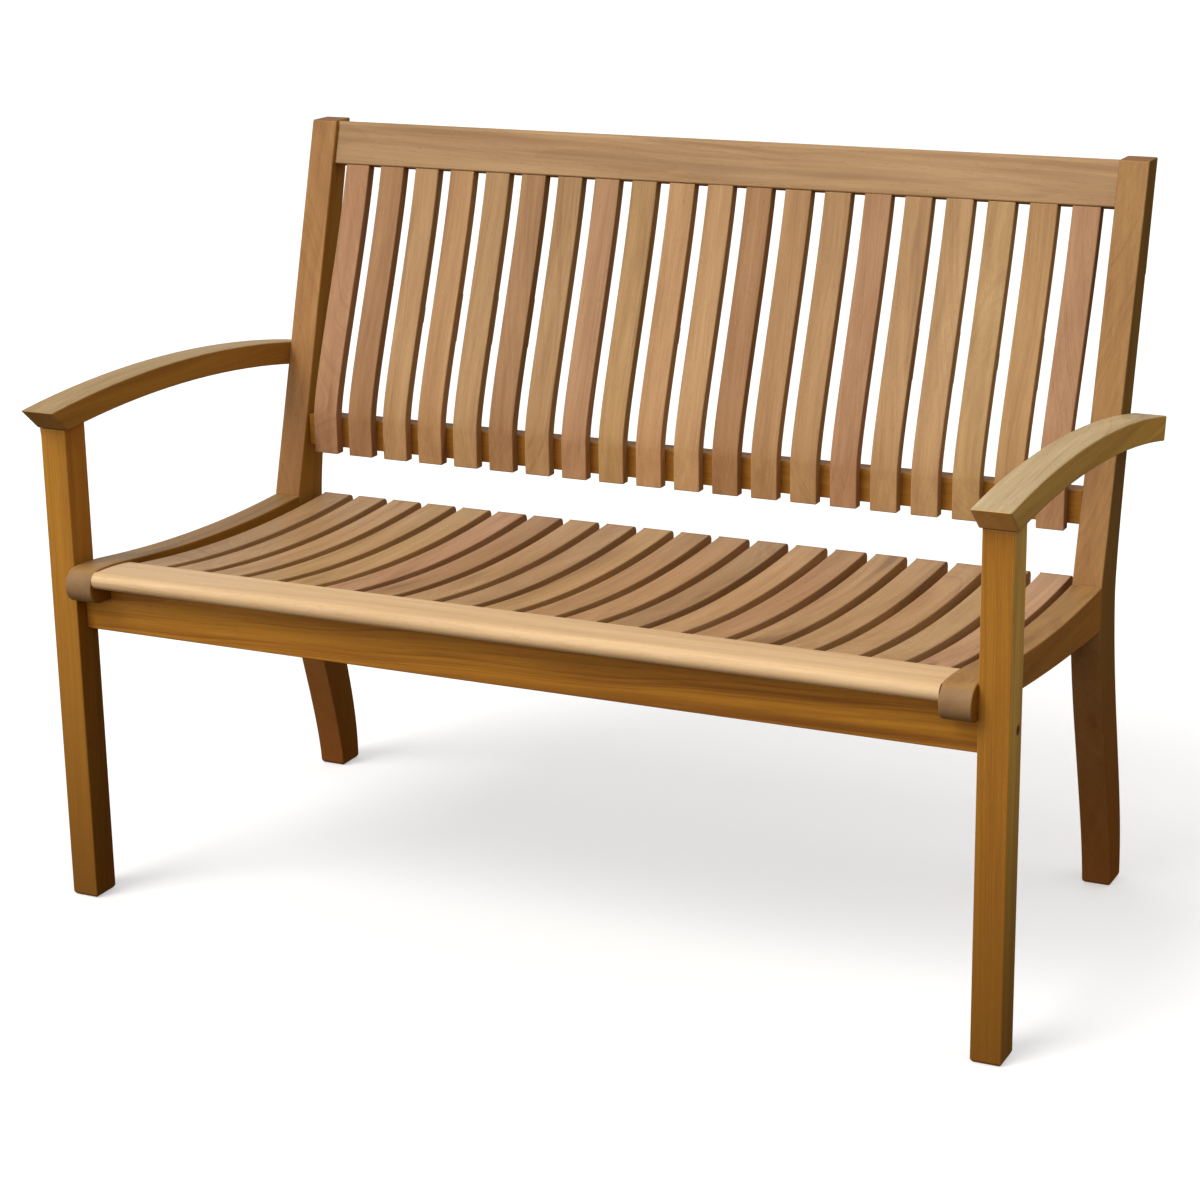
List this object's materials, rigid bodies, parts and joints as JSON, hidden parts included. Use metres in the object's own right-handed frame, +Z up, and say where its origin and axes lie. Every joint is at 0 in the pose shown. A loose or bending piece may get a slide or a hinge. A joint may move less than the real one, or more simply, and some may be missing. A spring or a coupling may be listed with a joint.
{
  "type": "garden bench",
  "caption": "Slatted teak garden bench for two, with a dished seat of front-to-back slats, raked back of upright slats and bowed arms on post legs.",
  "frame": {"origin": "centre of the bench's bounding box, on the ground", "axes": "+X to the right as seen from the front, +Y towards the back, +Z up"},
  "size_m": [1.259, 0.6794, 0.923],
  "materials": {
    "frame": "oiled teak, satin, orange-brown",
    "rails": "oiled teak, satin",
    "slats": "oiled teak, satin, varied from slat to slat",
    "nosing": "oiled teak, satin, pale board",
    "pins": "dark end grain, sanded flush",
    "steel": "stainless steel, satin",
    "brass": "brass, satin"
  },
  "bodies": {
    "root": {"front_leg_left": "frame", "front_leg_right": "frame", "rear_leg_left": "frame", "rear_leg_right": "frame", "side_rail_left": "frame", "side_rail_right": "frame", "arm_left": "rails", "arm_right": "rails", "crest_rail": "rails", "lower_back_rail": "rails", "seat_nosing": "nosing", "front_apron": "frame", "rear_seat_rail": "frame", "mid_seat_rail": "frame", "back_slat_01": "slats", "back_slat_02": "slats", "back_slat_03": "slats", "back_slat_04": "slats", "back_slat_05": "slats", "back_slat_06": "slats", "back_slat_07": "slats", "back_slat_08": "slats", "back_slat_09": "slats", "back_slat_10": "slats", "back_slat_11": "slats", "back_slat_12": "slats", "back_slat_13": "slats", "back_slat_14": "slats", "back_slat_15": "slats", "back_slat_16": "slats", "back_slat_17": "slats", "back_slat_18": "slats", "back_slat_19": "slats", "back_slat_20": "slats", "seat_slat_01": "slats", "seat_slat_02": "slats", "seat_slat_03": "slats", "seat_slat_04": "slats", "seat_slat_05": "slats", "seat_slat_06": "slats", "seat_slat_07": "slats", "seat_slat_08": "slats", "seat_slat_09": "slats", "seat_slat_10": "slats", "seat_slat_11": "slats", "seat_slat_12": "slats", "seat_slat_13": "slats", "seat_slat_14": "slats", "seat_slat_15": "slats", "seat_slat_16": "slats", "seat_slat_17": "slats", "seat_slat_18": "slats", "seat_slat_19": "slats", "seat_slat_20": "slats", "dowel_pins": "pins", "apron_bolts": "steel", "barrel_nuts": "steel", "wood_plugs": "pins", "rail_screws": "steel", "slat_screws": "brass"}
  },
  "joints": []
}
